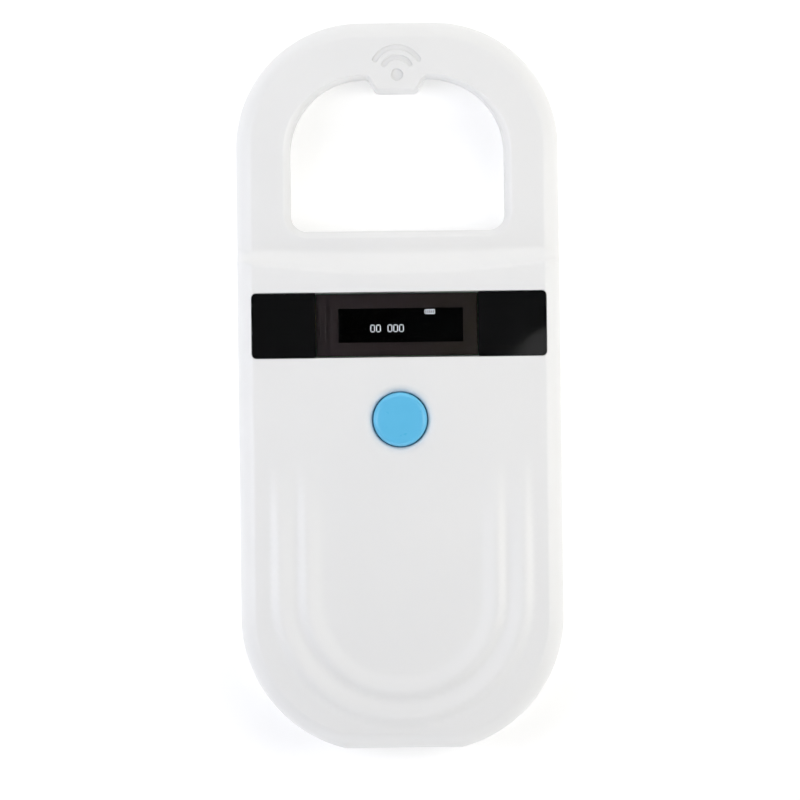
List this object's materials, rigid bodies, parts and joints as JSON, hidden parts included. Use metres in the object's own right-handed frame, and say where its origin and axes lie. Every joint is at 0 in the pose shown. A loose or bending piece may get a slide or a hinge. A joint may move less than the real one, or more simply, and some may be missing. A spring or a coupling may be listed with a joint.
{
  "type": "microchip scanner",
  "caption": "Handheld pet microchip reader: flat white case with an antenna loop, a display window and a round blue scan button.",
  "frame": {"origin": "under the middle of the case, on its back, which lies on the ground", "axes": "+Y from the charging end to the antenna loop, +Z out of the side with the display and the button, +X to the right seen from the front"},
  "size_m": [0.06, 0.135, 0.0208],
  "materials": {
    "white_abs": "moulded, fine satin gloss",
    "blue_abs": "moulded, satin",
    "black_acrylic": "polished, printed black behind a clear middle",
    "panel_glass": "dark display glass, solid here",
    "black_plastic": "moulded, matt",
    "board_green": "solder mask",
    "enamelled_copper": "enamelled wire",
    "plated_steel": "zinc or nickel plated",
    "amber_film": "polyimide film",
    "pouch_foil": "laminated foil pouch",
    "label_film": "blank silver film",
    "red_wire": "insulated lead",
    "black_wire": "insulated lead"
  },
  "bodies": {
    "casing": {"front_cover": "white_abs", "rear_cover": "white_abs", "display_lens": "black_acrylic", "lens_tape_left": "black_plastic", "lens_tape_right": "black_plastic", "oled_panel": "panel_glass", "display_holder": "black_plastic", "oled_flex": "amber_film", "flex_connector": "black_plastic", "switch_body": "black_plastic", "main_board": "board_green", "controller_chip": "black_plastic", "reader_chip": "black_plastic", "charger_chip": "black_plastic", "crystal": "plated_steel", "power_inductor": "black_plastic", "tuning_capacitor_1": "amber_film", "tuning_capacitor_2": "amber_film", "buzzer": "black_plastic", "socket_shell": "plated_steel", "socket_tongue": "black_plastic", "battery_cell": "pouch_foil", "battery_pad": "black_plastic", "battery_header": "white_abs", "battery_plug": "white_abs", "battery_lead_red": "red_wire", "battery_lead_black": "black_wire", "antenna_coil": "enamelled_copper", "coil_tape_1": "amber_film", "coil_tape_2": "amber_film", "coil_tape_3": "amber_film", "coil_tape_4": "amber_film", "coil_lead_start": "enamelled_copper", "coil_lead_end": "enamelled_copper", "case_screw_1": "plated_steel", "case_screw_2": "plated_steel", "case_screw_3": "plated_steel", "case_screw_4": "plated_steel", "case_screw_5": "plated_steel", "board_screw_1": "plated_steel", "board_screw_2": "plated_steel", "board_screw_3": "plated_steel", "rear_label": "label_film"},
    "scan_button": {"scan_button": "blue_abs"},
    "switch_plunger": {"switch_plunger": "black_plastic"}
  },
  "joints": [
    {"name": "button_press", "type": "slide", "parent": "casing", "child": "scan_button", "axis": [0, 0, -1], "range_m": [0, 0.0005], "stiffness_N_per_m": 400, "springref_m": -0.003},
    {"name": "plunger_press", "type": "slide", "parent": "casing", "child": "switch_plunger", "axis": [0, 0, -1], "range_m": [0, 0.0005]}
  ],
  "couplings": [
    {"joint": "plunger_press", "follows": "button_press", "ratio": 1}
  ]
}
